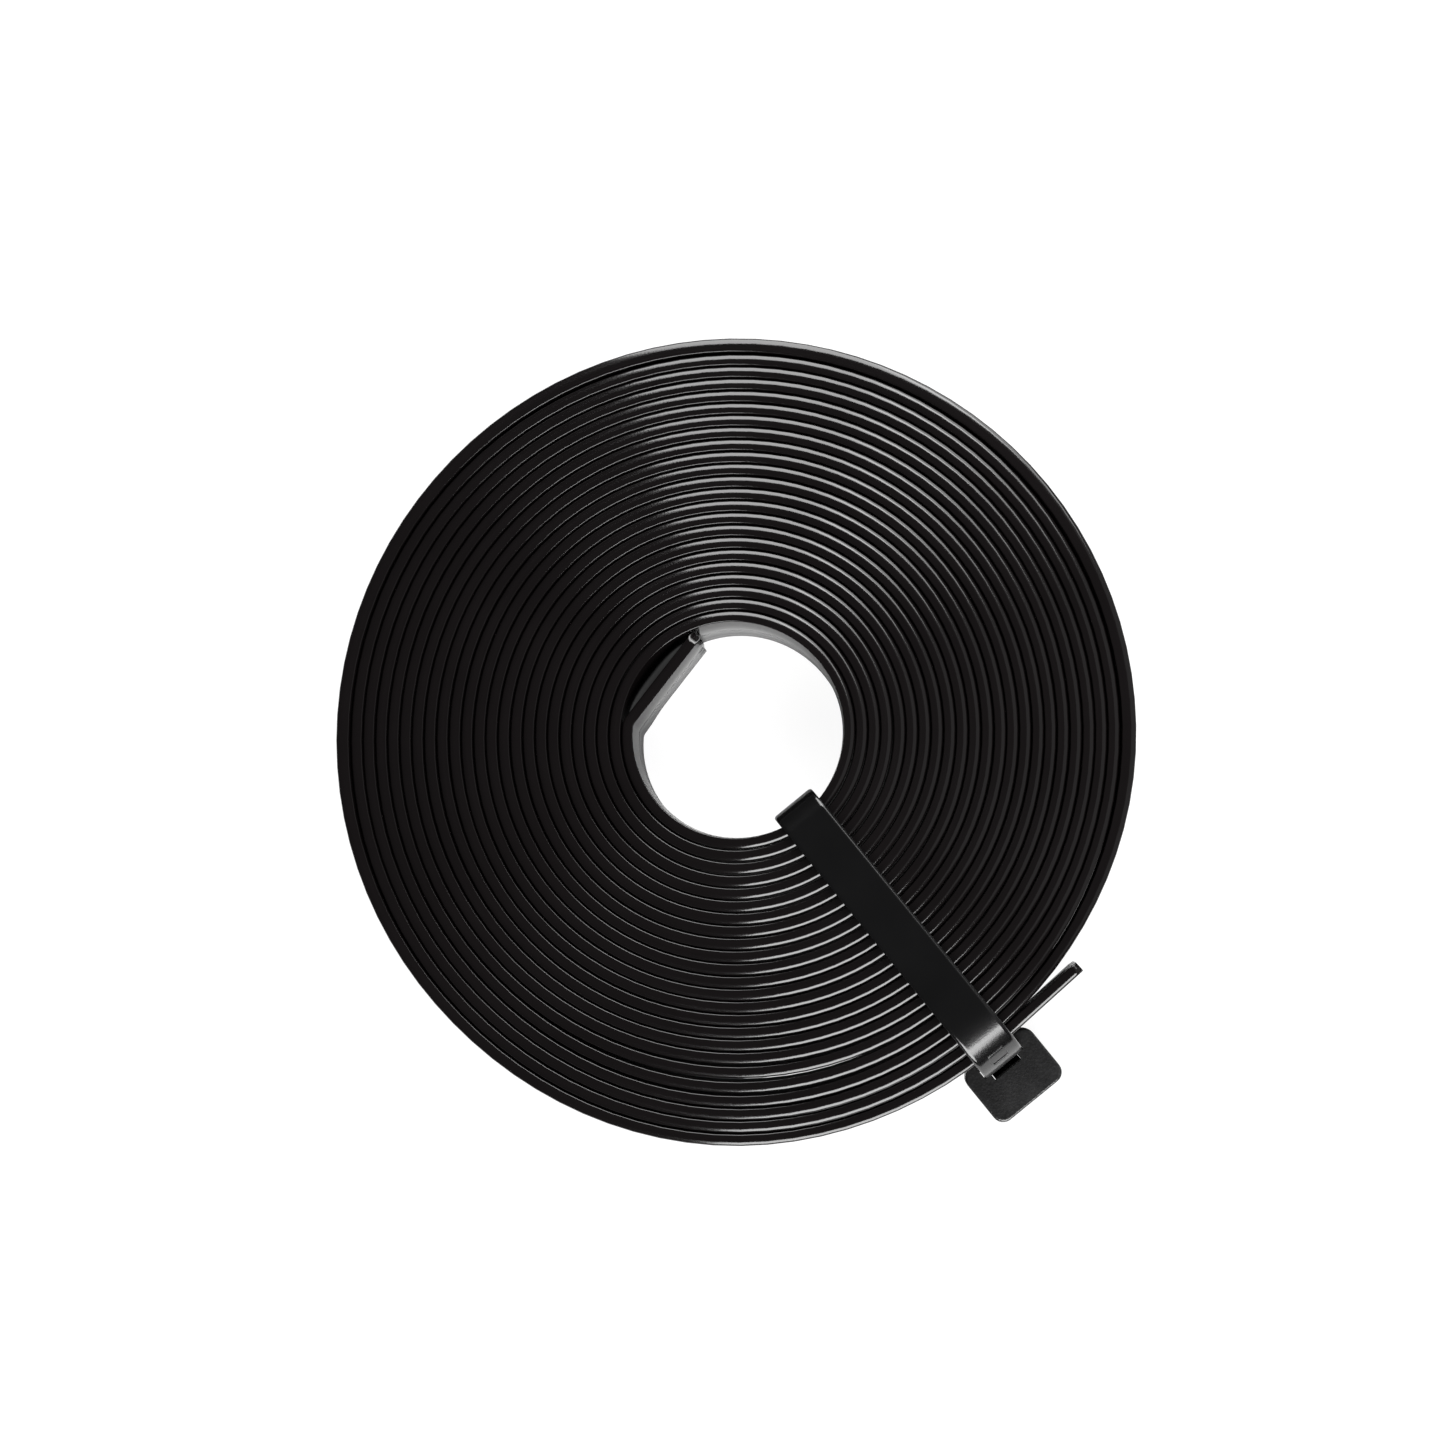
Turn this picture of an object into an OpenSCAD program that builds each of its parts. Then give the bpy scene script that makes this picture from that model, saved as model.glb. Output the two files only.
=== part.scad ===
// Flat soaker hose, wound on edge into a spiral coil and held by one cable tie.
// Millimetres. The coil stands on z = 0 and its axis is the Z axis.

/* [Hose] */
// Width of the hose when it lies flat, which is the height of the coil
hose_width = 25; // [18:1:40]
// Thickness of the flat hose, both walls together
hose_thickness = 2.1; // [1.6:0.1:3]
// Thickness of one wall of the hose
hose_wall = 0.85; // [0.5:0.05:0.95]
// Depth by which the folded lower edge is pressed flat where the coil stands on it
foot_flat = 0.5; // [0.2:0.1:0.6]
// Diameter of the weep holes
weep_hole = 0.8; // [0.4:0.1:1.2]
// Distance from one weep hole to the next along the hose
weep_spacing = 7; // [4:1:12]

/* [Coil] */
// Number of turns from the crease at the inner end to the start of the outer end
turns = 23.375; // [6:0.125:24]
// Clear gap between neighbouring turns
turn_gap = 0.43; // [0.42:0.01:1]
// Radius from the coil's axis to the middle of the hose at the crease
crease_radius = 21.9; // [18:0.5:40]
// Direction of the crease, seen from above
crease_azimuth = 177; // [90:1:270]
// How much further out the outermost turn lies than the others
outer_slack = 0.85; // [0:0.05:2]
// How far the outer turns belly out ahead of the tie
belly = 1.0; // [0:0.1:2]

/* [Hose ends] */
// Angle that the hose is creased through at the inner end
crease_angle = 35; // [10:1:50]
// Bend radius of the crease, at the middle of the hose
crease_bend = 3.2; // [2:0.1:6]
// Straight length of the inner end, past the crease
inner_end_length = 21.6; // [10:0.5:26]
// Straight length of the outer end, past the last turn
outer_end_length = 19.5; // [10:0.5:60]
// How deep the cut ends stay open between their walls
mouth_depth = 12; // [4:1:16]

/* [Tie strap] */
// Width of the strap
strap_width = 9.6; // [6:0.2:12]
// Thickness of the strap
strap_thickness = 1.5; // [1.4:0.1:2]
// Width of the bevel along both edges of the strap's outer face
strap_bevel = 0.6; // [0.2:0.1:0.8]
// Running clearance between the tie and the hose
tie_clearance = 0.3; // [0.2:0.05:0.6]
// How far the strap stands off the wall of the coil's bore
bore_standoff = 2; // [1.9:0.1:5]
// How far the strap stands off the coil's outside
strap_standoff = 2.3; // [2.2:0.1:5]
// Bend radius of the strap at the foot of the bore
foot_bend = 3; // [2.8:0.1:3.6]
// Bend radius of the strap at the top of the bore
bore_bend = 4.5; // [3.8:0.1:5]
// Radius of the slow curve by which the strap starts down over the outer turns
shoulder_bend = 20; // [12:1:30]
// Angle of that slow curve
shoulder_angle = 15; // [5:1:20]
// Radius of the quick bend that follows it
corner_bend = 4.4; // [3.5:0.1:5]

/* [Tie teeth] */
// Distance from one tooth of the strap to the next
tooth_pitch = 1.4; // [1.2:0.1:2]
// Depth of the teeth
tooth_depth = 0.55; // [0.4:0.05:0.6]
// Number of teeth cut in the strap
strap_teeth = 9; // [7:1:12]
// Number of teeth on the pawl
pawl_teeth = 3; // [2:1:3]
// Clearance between the teeth of the pawl and of the strap
tooth_clearance = 0.12; // [0.1:0.01:0.15]

/* [Tie head] */
// Length of the head, away from the coil
head_length = 13.2; // [13:0.2:18]
// Width of the head
head_width = 17.2; // [15:0.2:20]
// Height of the head
head_height = 10.2; // [9.8:0.1:14]
// Radius of the head's upright corners
head_corner = 2.4; // [1:0.1:3]
// Bevel along the head's upper and lower far edges
head_bevel = 0.9; // [0.4:0.1:1.5]
// Clearance of the strap in its slot
slot_clearance = 0.15; // [0.1:0.05:0.3]
// Width of the pawl
pawl_width = 6.6; // [4:0.2:7]
// Thickness of the pawl
pawl_thickness = 1.4; // [1.2:0.1:1.6]
// Radius of the pawl's root, on which it bends open
pawl_root = 0.7; // [0.6:0.05:0.8]
// Angle by which the pawl swings open
pawl_swing = 10; // [4:1:12]

/* [Hidden] */
$fn = 48;
hose_colour = [0.05, 0.05, 0.055];
tie_colour = [0.09, 0.09, 0.095];

// ---- coil: every loop has 24 rings of 6 points -------------------------------------------
RINGS = 24;
last_ring = round(turns * RINGS);
pitch = hose_thickness + turn_gap;
coil_height = hose_width - foot_flat;
end_azimuth = crease_azimuth + last_ring * 360 / RINGS;

// Height of the rounding of a folded edge, and what the flat foot leaves of the hose's thickness
fold_height = hose_thickness / 3;
fold_radius = hose_thickness / 2;
foot_half = sqrt(fold_radius * fold_radius - pow(fold_radius - foot_flat, 2));

// Number of straight facets in the crease
CREASE_PARTS = 8;

// The tie sits just before the outer end. The coil rides over the strap on a smooth hump.
tie_lead = 3;
tie_azimuth = end_azimuth - tie_lead;
hump = strap_thickness + tie_clearance;
HUMP_FLAT = 15;
HUMP_FOOT = 45;

// The outermost turn works loose over its first quarter turn and tightens again to the tie.
LOOSE_FROM = 1;
LOOSE_FULL = 0.87;
LOOSE_UNTIL = 0.6;
// The belly grows over three turns and is widest 40 degrees ahead of the tie.
BELLY_LEAD = 40;
BELLY_HALF = 48;
BELLY_FROM = 6;
BELLY_FULL = 3;

function smooth(x) = let (c = min(max(x, 0), 1)) c * c * (3 - 2 * c);
function apart(a, b) = let (d = abs(a - b) % 360) min(d, 360 - d);

// Rise of the hose over the strap at a given azimuth
function rise(azimuth) =
    hump * smooth((HUMP_FOOT - apart(azimuth, tie_azimuth)) / (HUMP_FOOT - HUMP_FLAT));

// Outward looseness at a given turn, which never falls from one turn to the next
function looseness(turn, azimuth) =
    let (left = turns - turn)
    outer_slack * smooth((LOOSE_FROM - left) / (LOOSE_FROM - LOOSE_FULL)) * smooth(left / LOOSE_UNTIL)
    + belly * smooth((BELLY_FROM - left) / (BELLY_FROM - BELLY_FULL))
      * smooth(1 - apart(azimuth, tie_azimuth - BELLY_LEAD) / BELLY_HALF);

function ring_azimuth(i) = crease_azimuth + i * 360 / RINGS;
function ring_radius(i) =
    crease_radius + pitch * i / RINGS + looseness(i / RINGS, ring_azimuth(i));

// Section of the flat hose: distance outward from its middle, and height
hose_section = [
    [foot_half, 0],
    [hose_thickness / 2, coil_height - fold_height],
    [hose_thickness / 4, coil_height],
    [-hose_thickness / 4, coil_height],
    [-hose_thickness / 2, coil_height - fold_height],
    [-foot_half, 0]
];
SIDES = len(hose_section);

// Point j of ring i
function ring_point(i, j) =
    let (a = ring_azimuth(i), r = ring_radius(i) + hose_section[j].x)
    [r * cos(a), r * sin(a), rise(a) + hose_section[j].y];

// ---- least gap from turn to turn, measured on the points in plan ----------------------------
function flat(p) = [p.x, p.y];
function to_segment(p, a, b) =
    let (ab = b - a, s = min(max((p - a) * ab / (ab * ab), 0), 1)) norm(p - a - s * ab);
OUTER = 1;
INNER = 4;
function gap_above(i) =
    let (p = flat(ring_point(i, OUTER)), next = i + RINGS)
    min([for (k = [next - 1 : min(next, last_ring - 1)])
        to_segment(p, flat(ring_point(k, INNER)), flat(ring_point(k + 1, INNER)))]);
function gap_below(i) =
    let (p = flat(ring_point(i, INNER)), last = i - RINGS)
    min([for (k = [max(last - 1, 0) : last])
        to_segment(p, flat(ring_point(k, OUTER)), flat(ring_point(k + 1, OUTER)))]);
least_gap = min([for (i = [RINGS : last_ring - RINGS]) min(gap_above(i), gap_below(i))]);
function ring_middle(i) = (ring_point(i, OUTER) + ring_point(i, INNER)) / 2;
steps = [for (i = [0 : last_ring - 1]) norm(ring_middle(i + 1) - ring_middle(i))];
coil_length = steps * [for (step = steps) 1];
crease_length = crease_bend * crease_angle * PI / 180;
echo(str("least gap between turns ", least_gap, " mm"));
echo(str("hose length ", coil_length + crease_length + inner_end_length + outer_end_length, " mm"));

// ---- tie: u points away from the coil's axis, v along the coil, z up ------------------------
bore_wall_u = min([for (i = [0 : RINGS]) apart(ring_azimuth(i), tie_azimuth) <= 180 / RINGS
    ? ring_radius(i) : crease_radius + pitch]) - hose_thickness / 2;
outer_wall_u = ring_radius(last_ring) + hose_thickness / 2;
bore_run_u = bore_wall_u - bore_standoff - strap_thickness / 2;
outer_run_u = outer_wall_u + strap_standoff + strap_thickness / 2;
coil_top = coil_height + hump;

// The top run clears the coil's outer corner inside the two bends that lead down
shoulder_drop = shoulder_bend * (1 - cos(shoulder_angle));
shoulder_reach = shoulder_bend * sin(shoulder_angle);
corner_reach = corner_bend * (1 - sin(shoulder_angle));
corner_drop = corner_bend * cos(shoulder_angle);
top_run_z = coil_top + tie_clearance + strap_thickness / 2 + shoulder_drop;
bottom_run_z = strap_thickness / 2;

head_u = outer_wall_u + tie_clearance;
// Height at which the strap's end is cut off inside the head
stub_z = 0.6;

// Teeth: each notch has a ledge that faces up and a long flank above it
LEDGE_ANGLE = 20;
TOOTH_LAND = 0.15;
NOTCH_SIDE = 0.2;
notch_width = pawl_width + 2 * NOTCH_SIDE;
first_notch_z = 1.2;
// How far a notch's cut starts clear of the strap's face, and how deep a pawl tooth sits in the pawl
CUT_CLEAR = 0.2;
SEAM = 0.05;
ledge_rise = tooth_depth * tan(LEDGE_ANGLE);

// Pawl: its root lies under the head's top, out of the strap's way
TOOTH_PLAY = 0.08;
PAWL_STEP = 0.1;
PAWL_SIDE = 0.15;
TIP_CLEAR = 0.15;
POCKET_END = 0.5;
HEAD_ROOF = 1.4;
first_pawl_notch = 1;
strap_face_u = outer_run_u + strap_thickness / 2;
tooth_face_u = strap_face_u + tooth_clearance + TOOTH_PLAY;
pawl_face_u = tooth_face_u + PAWL_STEP;
pawl_axis_u = pawl_face_u + pawl_thickness;
pawl_axis_z = head_height - HEAD_ROOF - pawl_root;
pawl_tip_z = first_notch_z + first_pawl_notch * tooth_pitch - TIP_CLEAR;
pawl_reach = pawl_axis_z - pawl_tip_z;
pocket_u = pawl_axis_u + pawl_reach * sin(pawl_swing) + POCKET_END;
pocket_width = pawl_width + 2 * PAWL_SIDE;
mouth_u = pawl_axis_u - PAWL_SIDE;

// How far a cutting shape reaches past what it cuts
MARGIN = 1;

// Flat strap section: distance outward from the middle of the strap, and along v
strap_section = [
    [-strap_thickness / 2, -strap_width / 2],
    [strap_thickness / 2 - strap_bevel, -strap_width / 2],
    [strap_thickness / 2, -strap_width / 2 + strap_bevel],
    [strap_thickness / 2, strap_width / 2 - strap_bevel],
    [strap_thickness / 2 - strap_bevel, strap_width / 2],
    [-strap_thickness / 2, strap_width / 2]
];

// The strap's way round the coil from the head: [run length] or [bend radius, bend angle]
strap_path = [
    [head_u - bore_run_u - foot_bend],
    [foot_bend, 90],
    [top_run_z - bottom_run_z - foot_bend - bore_bend],
    [bore_bend, 90],
    [outer_run_u - bore_run_u - bore_bend - shoulder_reach - corner_reach],
    [shoulder_bend, shoulder_angle],
    [corner_bend, 90 - shoulder_angle],
    [top_run_z - shoulder_drop - corner_drop - stub_z]
];

// Stations along that way in the u-z plane, [place, heading], with the loop's outside on the left
BEND_STEP = 7.5;
function ahead(heading) = [cos(heading), sin(heading)];
function outward(heading) = ahead(heading + 90);
function walk(path, at, heading, step = 0) =
    step == len(path) ? [[at, heading]]
    : len(path[step]) == 1
        ? concat([[at, heading]], walk(path, at + path[step][0] * ahead(heading), heading, step + 1))
        : let (radius = path[step][0], angle = path[step][1], parts = ceil(angle / BEND_STEP),
              centre = at - radius * outward(heading))
          concat([for (k = [0 : parts - 1]) let (h = heading - angle * k / parts)
                  [centre + radius * outward(h), h]],
              walk(path, centre + radius * outward(heading - angle), heading - angle, step + 1));

module along_tie() {
    rotate([0, 0, tie_azimuth]) children();
}

// Extrudes a (u, z) outline along v, centred
module across(width) {
    rotate([90, 0, 0]) linear_extrude(width, center = true) children();
}

// One notch of the strap, from its lip on the strap's face
function notch(z) = [
    [0, z],
    [-tooth_depth, z + ledge_rise],
    [0, z + tooth_pitch - TOOTH_LAND]
];

// One unbroken solid through a list of rings, each with the same number of points
module tube(rings) {
    sides = len(rings[0]);
    end = (len(rings) - 1) * sides;
    walls = [for (i = [0 : sides : end - 1], j = [0 : sides - 1])
        let (a = i + j, b = i + (j + 1) % sides)
        each [[a, b, b + sides], [a, b + sides, a + sides]]];
    first_cap = [for (j = [1 : sides - 2]) [0, j + 1, j]];
    last_cap = [for (j = [1 : sides - 2]) [end, end + j, end + j + 1]];
    polyhedron([for (ring = rings) each ring], concat(walls, first_cap, last_cap));
}

module hose_coil() {
    color(hose_colour)
        tube([for (i = [0 : last_ring]) [for (j = [0 : SIDES - 1]) ring_point(i, j)]]);
}

// Opening between the two walls of a cut end, which enters the hose along +Y
module mouth(length) {
    slit = hose_thickness - 2 * hose_wall;
    slit_height = hose_width - 4 * hose_wall;
    translate([-slit / 2, length - mouth_depth, (coil_height - slit_height) / 2])
        cube([slit, mouth_depth + MARGIN, slit_height]);
}

// Weep holes through the outward wall, along the middle of the hose
module weep_holes(length) {
    for (y = [length - mouth_depth + weep_spacing / 4 : weep_spacing : length - weep_spacing / 4])
        translate([0, y, coil_height / 2]) rotate([0, 90, 0])
            cylinder(h = hose_thickness, d = weep_hole, $fn = 24);
}

// What is cut from a straight end that runs from y = 0 to its length
module end_cuts(length) {
    mouth(length);
    weep_holes(length);
}

// Ring of the inner end, turned back through an angle round the crease and carried on straight
function crease_ring(angle, run) = [for (p = hose_section)
    let (out = [cos(angle), -sin(angle)], on = [-sin(angle), -cos(angle)],
        q = (crease_bend + p.x) * out + run * on)
    [q.x, q.y, p.y]];

module hose_inner_end() {
    color(hose_colour)
    rotate([0, 0, crease_azimuth]) translate([crease_radius - crease_bend, 0, rise(crease_azimuth)])
        difference() {
            tube([
                crease_ring(crease_angle, inner_end_length),
                for (k = [CREASE_PARTS : -1 : 0]) crease_ring(crease_angle * k / CREASE_PARTS, 0)
            ]);
            rotate([0, 0, -crease_angle]) translate([crease_bend, 0, 0])
                mirror([0, 1, 0]) end_cuts(inner_end_length);
        }
}

module hose_outer_end() {
    color(hose_colour)
    rotate([0, 0, end_azimuth]) translate([ring_radius(last_ring), 0, rise(end_azimuth)])
        difference() {
            tube([for (run = [0, outer_end_length]) [for (p = hose_section) [p.x, run, p.y]]]);
            end_cuts(outer_end_length);
        }
}

module tie_strap() {
    color(tie_colour) along_tie() difference() {
        tube([for (s = walk(strap_path, [head_u, bottom_run_z], 180))
            [for (p = strap_section) let (q = s[0] + p.x * outward(s[1])) [q.x, p.y, q.y]]]);
        translate([strap_face_u, 0, 0]) across(notch_width)
            for (k = [0 : strap_teeth - 1]) let (z = first_notch_z + k * tooth_pitch)
                polygon([[CUT_CLEAR, z], each notch(z), [CUT_CLEAR, z + tooth_pitch - TOOTH_LAND]]);
    }
}

// Rounded rectangle from u = 0 outward, centred on v
module head_plan() {
    for (side = [-1, 1], u = [head_corner, head_length - head_corner])
        translate([u, side * (head_width / 2 - head_corner)]) circle(head_corner);
    translate([0, -head_width / 2 + head_corner])
        square([head_length, head_width - 2 * head_corner]);
    translate([head_corner, -head_width / 2])
        square([head_length - 2 * head_corner, head_width]);
}

module tie_head() {
    slot_u = outer_run_u - strap_thickness / 2 - slot_clearance;
    slot_length = strap_thickness + 2 * slot_clearance;
    slot_width = strap_width + 2 * slot_clearance;
    color(tie_colour) along_tie() difference() {
        intersection() {
            translate([head_u, 0, 0]) linear_extrude(head_height) head_plan();
            across(head_width + MARGIN) polygon([
                [head_u, 0],
                [head_u + head_length - head_bevel, 0],
                [head_u + head_length, head_bevel],
                [head_u + head_length, head_height - head_bevel],
                [head_u + head_length - head_bevel, head_height],
                [head_u, head_height]
            ]);
        }
        // Slot for the strap
        translate([slot_u, -slot_width / 2, -MARGIN])
            cube([slot_length, slot_width, head_height + 2 * MARGIN]);
        // Pocket for the pawl, open to the slot and below
        translate([slot_u + slot_clearance, -pocket_width / 2, -MARGIN])
            cube([pocket_u - slot_u - slot_clearance, pocket_width, pawl_axis_z + MARGIN]);
        // Mouth above the pawl
        translate([slot_u + slot_clearance, -pocket_width / 2, 0])
            cube([mouth_u - slot_u - slot_clearance, pocket_width, head_height + MARGIN]);
        // Seat of the pawl's root
        translate([pawl_axis_u, 0, pawl_axis_z]) rotate([90, 0, 0])
            cylinder(h = pocket_width, r = pawl_root + PAWL_SIDE, center = true);
    }
}

module tie_pawl() {
    color(tie_colour) along_tie() {
        translate([pawl_axis_u, 0, pawl_axis_z]) rotate([90, 0, 0])
            cylinder(h = pawl_width, r = pawl_root, center = true);
        across(pawl_width) {
            polygon([
                [pawl_axis_u, pawl_axis_z - pawl_root],
                [pawl_axis_u, pawl_tip_z + pawl_thickness / 2],
                [pawl_axis_u - pawl_thickness / 3, pawl_tip_z],
                [pawl_face_u, pawl_tip_z],
                [pawl_face_u, pawl_axis_z - pawl_thickness],
                [pawl_axis_u - pawl_root, pawl_axis_z]
            ]);
            for (k = [0 : pawl_teeth - 1])
                let (z = first_notch_z + (first_pawl_notch + k) * tooth_pitch + tooth_clearance)
                polygon([[pawl_face_u + SEAM, z],
                    each [for (p = notch(z)) [tooth_face_u + p.x, p.y]],
                    [pawl_face_u + SEAM, z + tooth_pitch - TOOTH_LAND]]);
        }
    }
}

hose_coil();
hose_inner_end();
hose_outer_end();
tie_strap();
tie_head();
tie_pawl();
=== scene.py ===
"""Dresses a coil of flat black soaker hose and the cable tie that holds it, and sets it on a white floor.

Lengths are in metres. The coil stands on z = 0 and its axis is the Z axis. The tie has a frame of its own:
u points away from the coil's axis, v runs along the coil and z points up.
"""

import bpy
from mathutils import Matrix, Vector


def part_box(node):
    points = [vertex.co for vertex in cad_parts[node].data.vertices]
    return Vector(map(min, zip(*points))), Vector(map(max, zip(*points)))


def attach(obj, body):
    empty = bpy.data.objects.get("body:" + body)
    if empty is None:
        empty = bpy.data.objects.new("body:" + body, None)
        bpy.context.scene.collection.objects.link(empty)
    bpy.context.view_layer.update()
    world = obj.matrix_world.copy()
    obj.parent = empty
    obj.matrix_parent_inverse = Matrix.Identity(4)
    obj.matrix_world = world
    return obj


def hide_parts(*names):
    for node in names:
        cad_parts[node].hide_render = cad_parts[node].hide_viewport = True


bl_info = {
    "name": "Flat soaker hose coil",
    "version": (1, 0, 0),
    "blender": (4, 5, 0),
    "location": "View3D > Sidebar > Soaker hose",
    "description": "Builds the wound flat hose, its cable tie and a studio round them",
    "category": "Add Mesh",
}

from types import SimpleNamespace

import bpy
import numpy as np
from bpy.props import FloatProperty, FloatVectorProperty, PointerProperty
from mathutils import Matrix, Vector

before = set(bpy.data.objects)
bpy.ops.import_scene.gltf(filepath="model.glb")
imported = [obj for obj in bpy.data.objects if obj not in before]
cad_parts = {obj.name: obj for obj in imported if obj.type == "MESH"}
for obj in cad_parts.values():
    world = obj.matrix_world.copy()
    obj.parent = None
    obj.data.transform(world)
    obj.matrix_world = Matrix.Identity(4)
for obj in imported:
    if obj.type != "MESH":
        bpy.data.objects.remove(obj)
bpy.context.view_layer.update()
MM = 0.001
TURN = 360.0


# ---- what a user would change --------------------------------------------------------------------


def length(name, text, value):
    """A size property in metres, from a value in millimetres."""
    return FloatProperty(name=name, description=text, default=value * MM, unit="LENGTH", min=0.0,
                         precision=5)


def number(name, text, value):
    """A property without a unit: an angle in degrees, a share or a number of turns."""
    return FloatProperty(name=name, description=text, default=value)


def colour(name, text, value):
    """A colour property, linear red, green and blue."""
    return FloatVectorProperty(name=name, description=text, default=value, subtype="COLOR", size=3,
                               min=0.0, max=1.0)


class HoseSizes(bpy.types.PropertyGroup):
    """The hose and the way it is wound."""

    height: length("Height", "Height of the coil on its flattened foot",
                   (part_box("hose_inner_end")[1].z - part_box("hose_inner_end")[0].z) / MM)
    hump: length("Hump", "Rise of the coil over the strap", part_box("hose_outer_end")[0].z / MM)
    thickness: length("Thickness", "Thickness of the flat hose", 2.1)
    gap: length("Gap", "Clear gap between neighbouring turns", 0.43)
    foot: length("Foot", "Depth by which the lower fold is pressed flat", 0.5)
    slit: length("Slit", "Opening between the walls of a cut end", 0.4)
    mouth: length("Mouth", "How deep the cut ends stay open", 12.0)
    turns: number("Turns", "Turns from the crease to the outer end", 23.375)
    crease_radius: length("Crease radius", "Radius of the hose's middle at the crease", 21.9)
    crease_azimuth: number("Crease azimuth", "Direction of the crease in degrees", 177.0)
    crease_bend: length("Crease bend", "Bend radius of the crease", 3.2)
    crease_angle: number("Crease angle", "Angle of the crease in degrees", 35.0)
    inner_end: length("Inner end", "Straight length of the inner end", 21.6)
    outer_end: length("Outer end", "Straight length of the outer end", 19.5)
    slack: length("Slack", "How much further out the outermost turn lies", 0.85)
    fill: number("Fill", "Share of the slack that the outermost turn's top fills", 0.75)
    belly: length("Belly", "How far the outer turns belly out ahead of the tie", 1.0)
    waver: length("Waver", "Unevenness of the winding from turn to turn", 0.05)
    outer_round: length("Outer rounding", "Width of the upper fold's rounding on the outer side", 1.12)
    outer_drop: length("Outer drop", "Depth of the upper fold's rounding on the outer side", 0.65)
    inner_round: length("Inner rounding", "Width of the upper fold's rounding on the inner side", 0.22)
    inner_drop: length("Inner drop", "Depth of the upper fold's rounding on the inner side", 0.4)
    top_tilt: length("Top tilt", "Fall of the upper fold's flat towards the inner side", 0.04)
    press: length("Press", "How far the strap presses the top of the outermost turn down", 2.0)
    sway: length("Sway", "How far the hose sways to either side between its folds", 0.32)
    swell: number("Swell", "Share by which the hose swells between its folds", 0.1)
    fullness: length("Fullness", "How far the hose stands out past its thickness on either side", 0.08)
    sag: length("Sag", "How far the foot of the first turn leans in behind the inner end", 1.7)
    splay: length("Splay", "How far the foot of the inner end leans outward", 0.5)


class TieSizes(bpy.types.PropertyGroup):
    """The cable tie."""

    lead: number("Lead", "Degrees from the tie to the hose's outer end", 3.0)
    width: length("Strap width", "Width of the strap", 9.6)
    thickness: length("Strap thickness", "Thickness of the strap", 1.5)
    edge_width: length("Edge width", "Width of the rounding along the strap's outer edges", 0.8)
    edge_depth: length("Edge depth", "Depth of that rounding", 0.5)
    bore_standoff: length("Bore standoff", "How far the strap stands off the wall of the bore", 2.0)
    standoff: length("Standoff", "How far the strap stands off the outside of the coil", 2.3)
    running: length("Running clearance", "Clearance between the tie and the hose", 0.3)
    foot_bend: length("Foot bend", "Bend at the foot of the bore", 3.0)
    bore_bend: length("Bore bend", "Bend at the top of the bore", 4.5)
    shoulder_bend: length("Shoulder bend", "Slow curve over the outer turns", 20.0)
    shoulder_angle: number("Shoulder angle", "Angle of the slow curve in degrees", 17.0)
    corner_bend: length("Corner bend", "Quicker bend down the outside", 9.5)
    crown: length("Crown", "How far the strap's level run stands above its running clearance", 0.73)
    border_along: length("Border along", "Length of the raised border along the strap", 2.8)
    border_across: length("Border across", "Width of the raised border across the strap", 3.9)
    border_place: length("Border place", "How far the border's middle is past the corner's start", 4.9)
    stub: length("Stub", "Height at which the strap's end is cut", 0.6)
    tooth_pitch: length("Tooth pitch", "Distance between teeth", 1.4)
    tooth_depth: length("Tooth depth", "Depth of the teeth", 0.55)
    first_tooth: length("First tooth", "Height of the lowest notch", 1.2)
    head_length: length("Head length", "Length of the head", 13.2)
    head_width: length("Head width", "Width of the head", 17.2)
    head_height: length("Head height", "Height of the head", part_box("tie_head")[1].z / MM)
    head_corner: length("Head corner", "Radius of the head's upright corners", 2.4)
    clearance: length("Clearance", "Clearance of the strap in its slot", 0.15)
    pawl_width: length("Pawl width", "Width of the pawl", 6.6)
    pawl_thickness: length("Pawl thickness", "Thickness of the pawl", 1.4)
    tooth_play: length("Tooth play", "Clearance between the teeth of the pawl and of the strap", 0.2)
    tooth_step: length("Tooth step", "How far the pawl's face lies behind the tips' line", 0.1)


class Finishes(bpy.types.PropertyGroup):
    """Colours of the finishes."""

    hose: colour("Hose", "Soft black plastic of the hose", (0.0029, 0.0023, 0.0024))
    strap: colour("Strap", "Black nylon of the strap", (0.0022, 0.0022, 0.0023))
    head: colour("Head", "Textured black nylon of the head", (0.0058, 0.0058, 0.0060))
    floor: colour("Floor", "White floor", (0.86, 0.86, 0.86))


# ---- meshes --------------------------------------------------------------------------------------


def smooth(x):
    """Smooth step: three x squared less two x cubed, on x held between 0 and 1."""
    x = np.clip(x, 0.0, 1.0)
    return x * x * (3.0 - 2.0 * x)


def apart(a, b):
    """Angle between two azimuths in degrees, never over half a turn."""
    d = np.abs(a - b) % TURN
    return np.minimum(d, TURN - d)


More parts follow.
